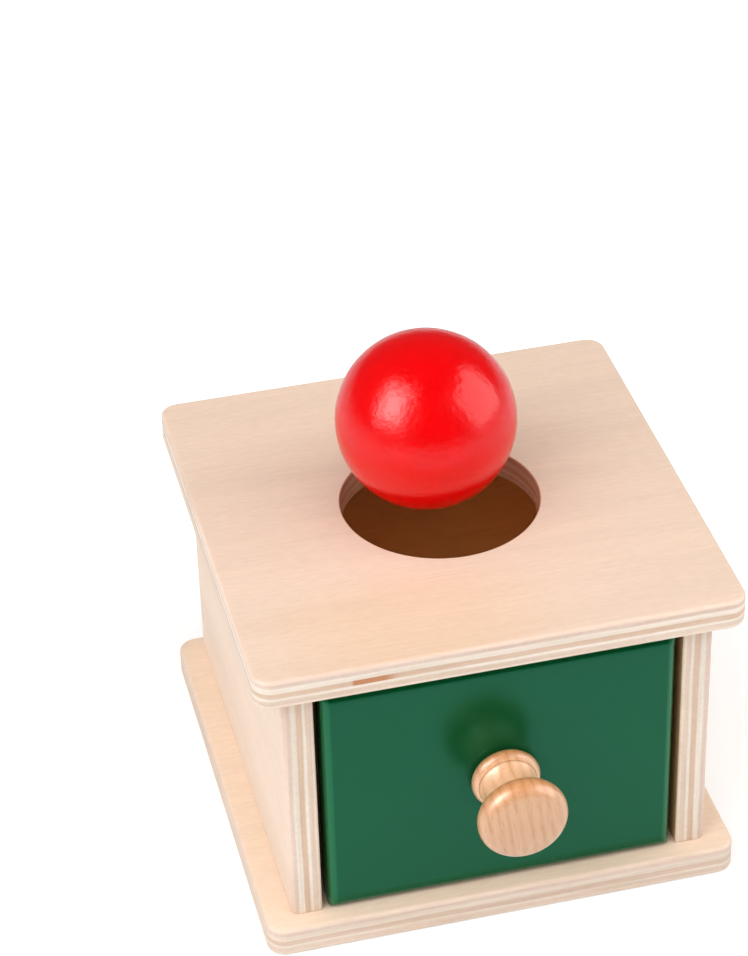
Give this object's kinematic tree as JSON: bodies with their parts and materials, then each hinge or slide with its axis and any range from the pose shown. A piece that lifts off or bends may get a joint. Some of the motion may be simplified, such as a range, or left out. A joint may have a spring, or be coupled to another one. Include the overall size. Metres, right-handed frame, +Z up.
{
  "type": "object permanence box",
  "caption": "Wooden object permanence box: a ball drops through the round hole in the plywood top into a painted drawer that pulls out by a turned knob.",
  "frame": {"origin": "middle of the underside of the base panel, on the surface that the box stands on", "axes": "+Z up, the drawer opens towards -Y, +X to the right as seen from the front"},
  "size_m": [0.14, 0.1588, 0.1544],
  "materials": {
    "birch_plywood": "sanded birch plywood under a clear matt varnish, with the plies showing at the edges",
    "green_paint": "plywood under satin green paint",
    "turned_beech": "turned beech under a clear semi-gloss lacquer",
    "beech_dowel": "plain beech, glued",
    "screw_steel": "bright zinc-plated steel",
    "red_lacquer": "turned wood under glossy red lacquer"
  },
  "bodies": {
    "case": {"base_panel": "birch_plywood", "left_side": "birch_plywood", "right_side": "birch_plywood", "back_panel": "birch_plywood", "top_panel": "birch_plywood", "top_dowels": "beech_dowel", "base_screws": "screw_steel"},
    "drawer": {"drawer_front": "green_paint", "drawer_left_side": "birch_plywood", "drawer_right_side": "birch_plywood", "drawer_back": "birch_plywood", "drawer_floor": "birch_plywood", "drawer_front_dowels": "beech_dowel", "drawer_back_dowels": "beech_dowel", "knob": "turned_beech", "knob_screw": "screw_steel"},
    "ball": {"ball": "red_lacquer"}
  },
  "joints": [
    {"name": "drawer_slide", "type": "slide", "parent": "case", "child": "drawer", "axis": [0, -1, 0], "range_m": [0, 0.095]},
    {"name": "ball_drop", "type": "slide", "parent": "drawer", "child": "ball", "axis": [0.1118, 0, -0.9937], "range_m": [0, 0.0863]}
  ]
}
